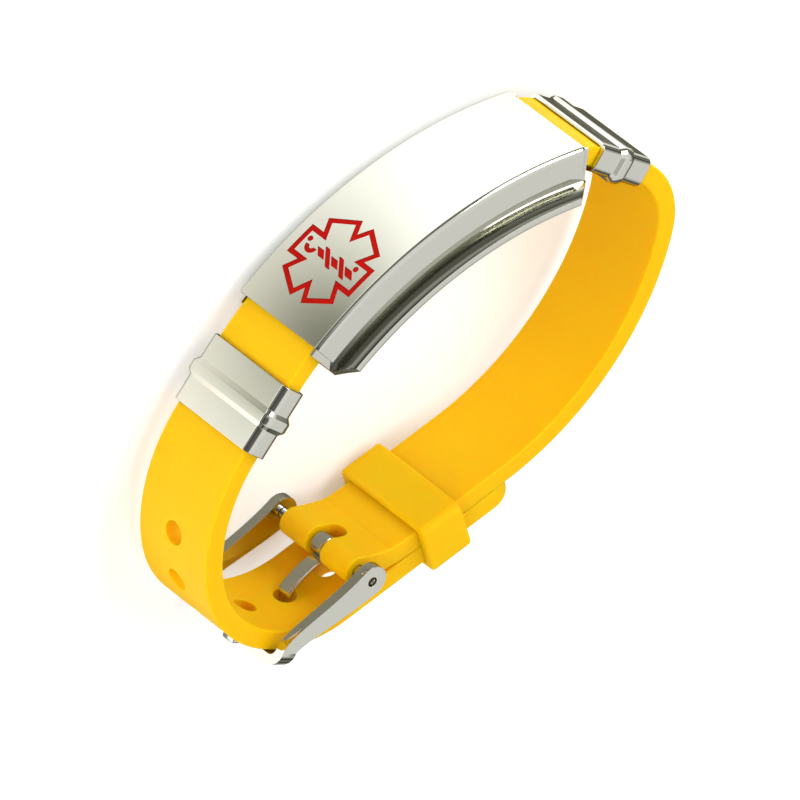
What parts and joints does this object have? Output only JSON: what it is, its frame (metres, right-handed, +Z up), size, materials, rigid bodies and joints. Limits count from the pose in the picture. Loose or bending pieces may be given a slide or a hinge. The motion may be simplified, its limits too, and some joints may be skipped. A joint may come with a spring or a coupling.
{
  "type": "medical alert bracelet",
  "caption": "Fastened medical alert bracelet lying on its side: a silicone strap with an arched steel name plate and emblem, ferrules, keeper and pin buckle.",
  "frame": {"origin": "under the middle of the bracelet's box, on the surface that it lies on", "axes": "+Z up, out of the loop's plane and along the width of the strap; +X along the name plate, towards its hole side; +Y from the name plate towards the buckle"},
  "size_m": [0.0698, 0.0453, 0.0172],
  "materials": {
    "silicone": "satin, slightly translucent",
    "steel": "polished stainless steel",
    "enamel": "gloss red enamel, slightly sunk"
  },
  "bodies": {
    "root": {"strap": "silicone", "name_plate": "steel", "emblem": "enamel", "back_plate": "steel", "ferrule_open": "steel", "ferrule_clasp": "steel", "keeper": "silicone", "buckle_frame": "steel", "spring_bar": "steel", "tongue": "steel"}
  },
  "joints": []
}
